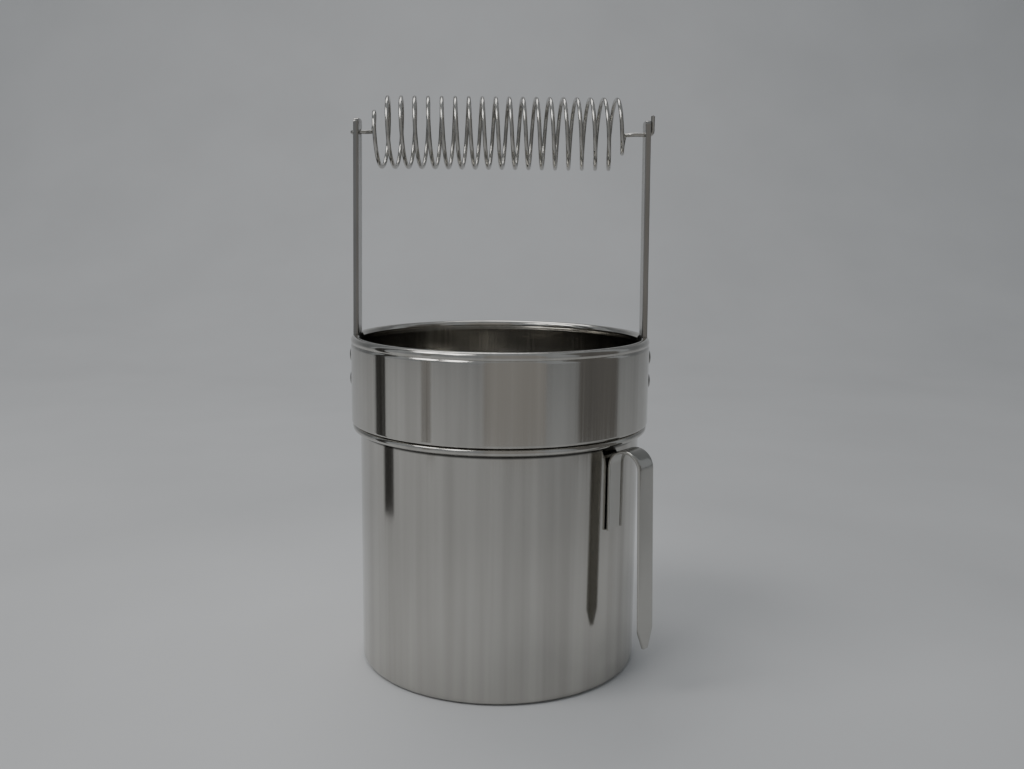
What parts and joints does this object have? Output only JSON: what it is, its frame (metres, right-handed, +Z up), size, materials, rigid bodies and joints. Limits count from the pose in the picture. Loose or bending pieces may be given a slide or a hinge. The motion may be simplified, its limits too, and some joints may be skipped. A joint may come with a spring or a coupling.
{
  "type": "alcohol spirit stove",
  "caption": "Nested metal spirit stove: deep pot with side handle, stepped pot with bail handle and coiled grip, lid, stand and capped burner.",
  "frame": {"origin": "centre of the outer pot's flat underside", "axes": "+Z up the pots' common axis, +X along the coiled grip towards the side handle's side, -Y towards the front"},
  "size_m": [0.1528, 0.15, 0.2837],
  "materials": {
    "polished_steel": "mirror polished stainless steel with faint draw lines",
    "satin_steel": "satin stainless steel strip",
    "wire_steel": "bright drawn stainless wire",
    "brass": "spun brass",
    "wick": "cotton felt",
    "gasket": "matte rubber"
  },
  "bodies": {
    "outer_pot": {"outer_pot": "polished_steel", "side_handle": "polished_steel"},
    "stand": {"burner_stand": "satin_steel", "burner_tray": "satin_steel"},
    "burner": {"burner_cup": "brass", "burner_jet_ring": "brass", "burner_wick": "wick"},
    "cap": {"burner_cap": "brass", "cap_gasket": "gasket"},
    "regulator": {"regulator_body": "brass", "regulator_pin": "brass"},
    "shutter": {"regulator_shutter": "brass"},
    "inner_pot": {"inner_pot": "polished_steel", "bail_arm_left": "satin_steel", "bail_arm_right": "satin_steel", "arm_rivet_left_upper": "satin_steel", "arm_rivet_left_lower": "satin_steel", "arm_rivet_right_upper": "satin_steel", "arm_rivet_right_lower": "satin_steel"},
    "grip": {"grip_coil": "wire_steel"},
    "lid": {"lid": "polished_steel", "ring_saddle": "satin_steel", "saddle_rivet_front": "satin_steel", "saddle_rivet_rear": "satin_steel"},
    "ring": {"lid_ring": "wire_steel"}
  },
  "joints": [
    {"name": "stand_lift", "type": "slide", "parent": "outer_pot", "child": "stand", "axis": [0, 0, 1], "range_m": [0, 0.13]},
    {"name": "burner_lift", "type": "slide", "parent": "stand", "child": "burner", "axis": [0, 0, 1], "range_m": [0, 0.09]},
    {"name": "cap_lift", "type": "slide", "parent": "burner", "child": "cap", "axis": [0, 0, 1], "range_m": [0, 0.03]},
    {"name": "regulator_lift", "type": "slide", "parent": "cap", "child": "regulator", "axis": [0, 0, 1], "range_m": [0, 0.03]},
    {"name": "shutter_swing", "type": "hinge", "parent": "regulator", "child": "shutter", "pos_m": [0.026, 0, 0.0523], "axis": [0, 0, 1], "range_deg": [0, 75]},
    {"name": "pot_lift", "type": "slide", "parent": "regulator", "child": "inner_pot", "axis": [0, 0, 1], "range_m": [0, 0.12]},
    {"name": "grip_turn", "type": "hinge", "parent": "inner_pot", "child": "grip", "pos_m": [0, 0, 0.266], "axis": [1, 0, 0], "continuous": true},
    {"name": "lid_lift", "type": "slide", "parent": "inner_pot", "child": "lid", "axis": [0, 0, 1], "range_m": [0, 0.07]},
    {"name": "ring_fold", "type": "hinge", "parent": "lid", "child": "ring", "pos_m": [0, 0, 0.1323], "axis": [-1, 0, 0], "range_deg": [0, 180]}
  ]
}
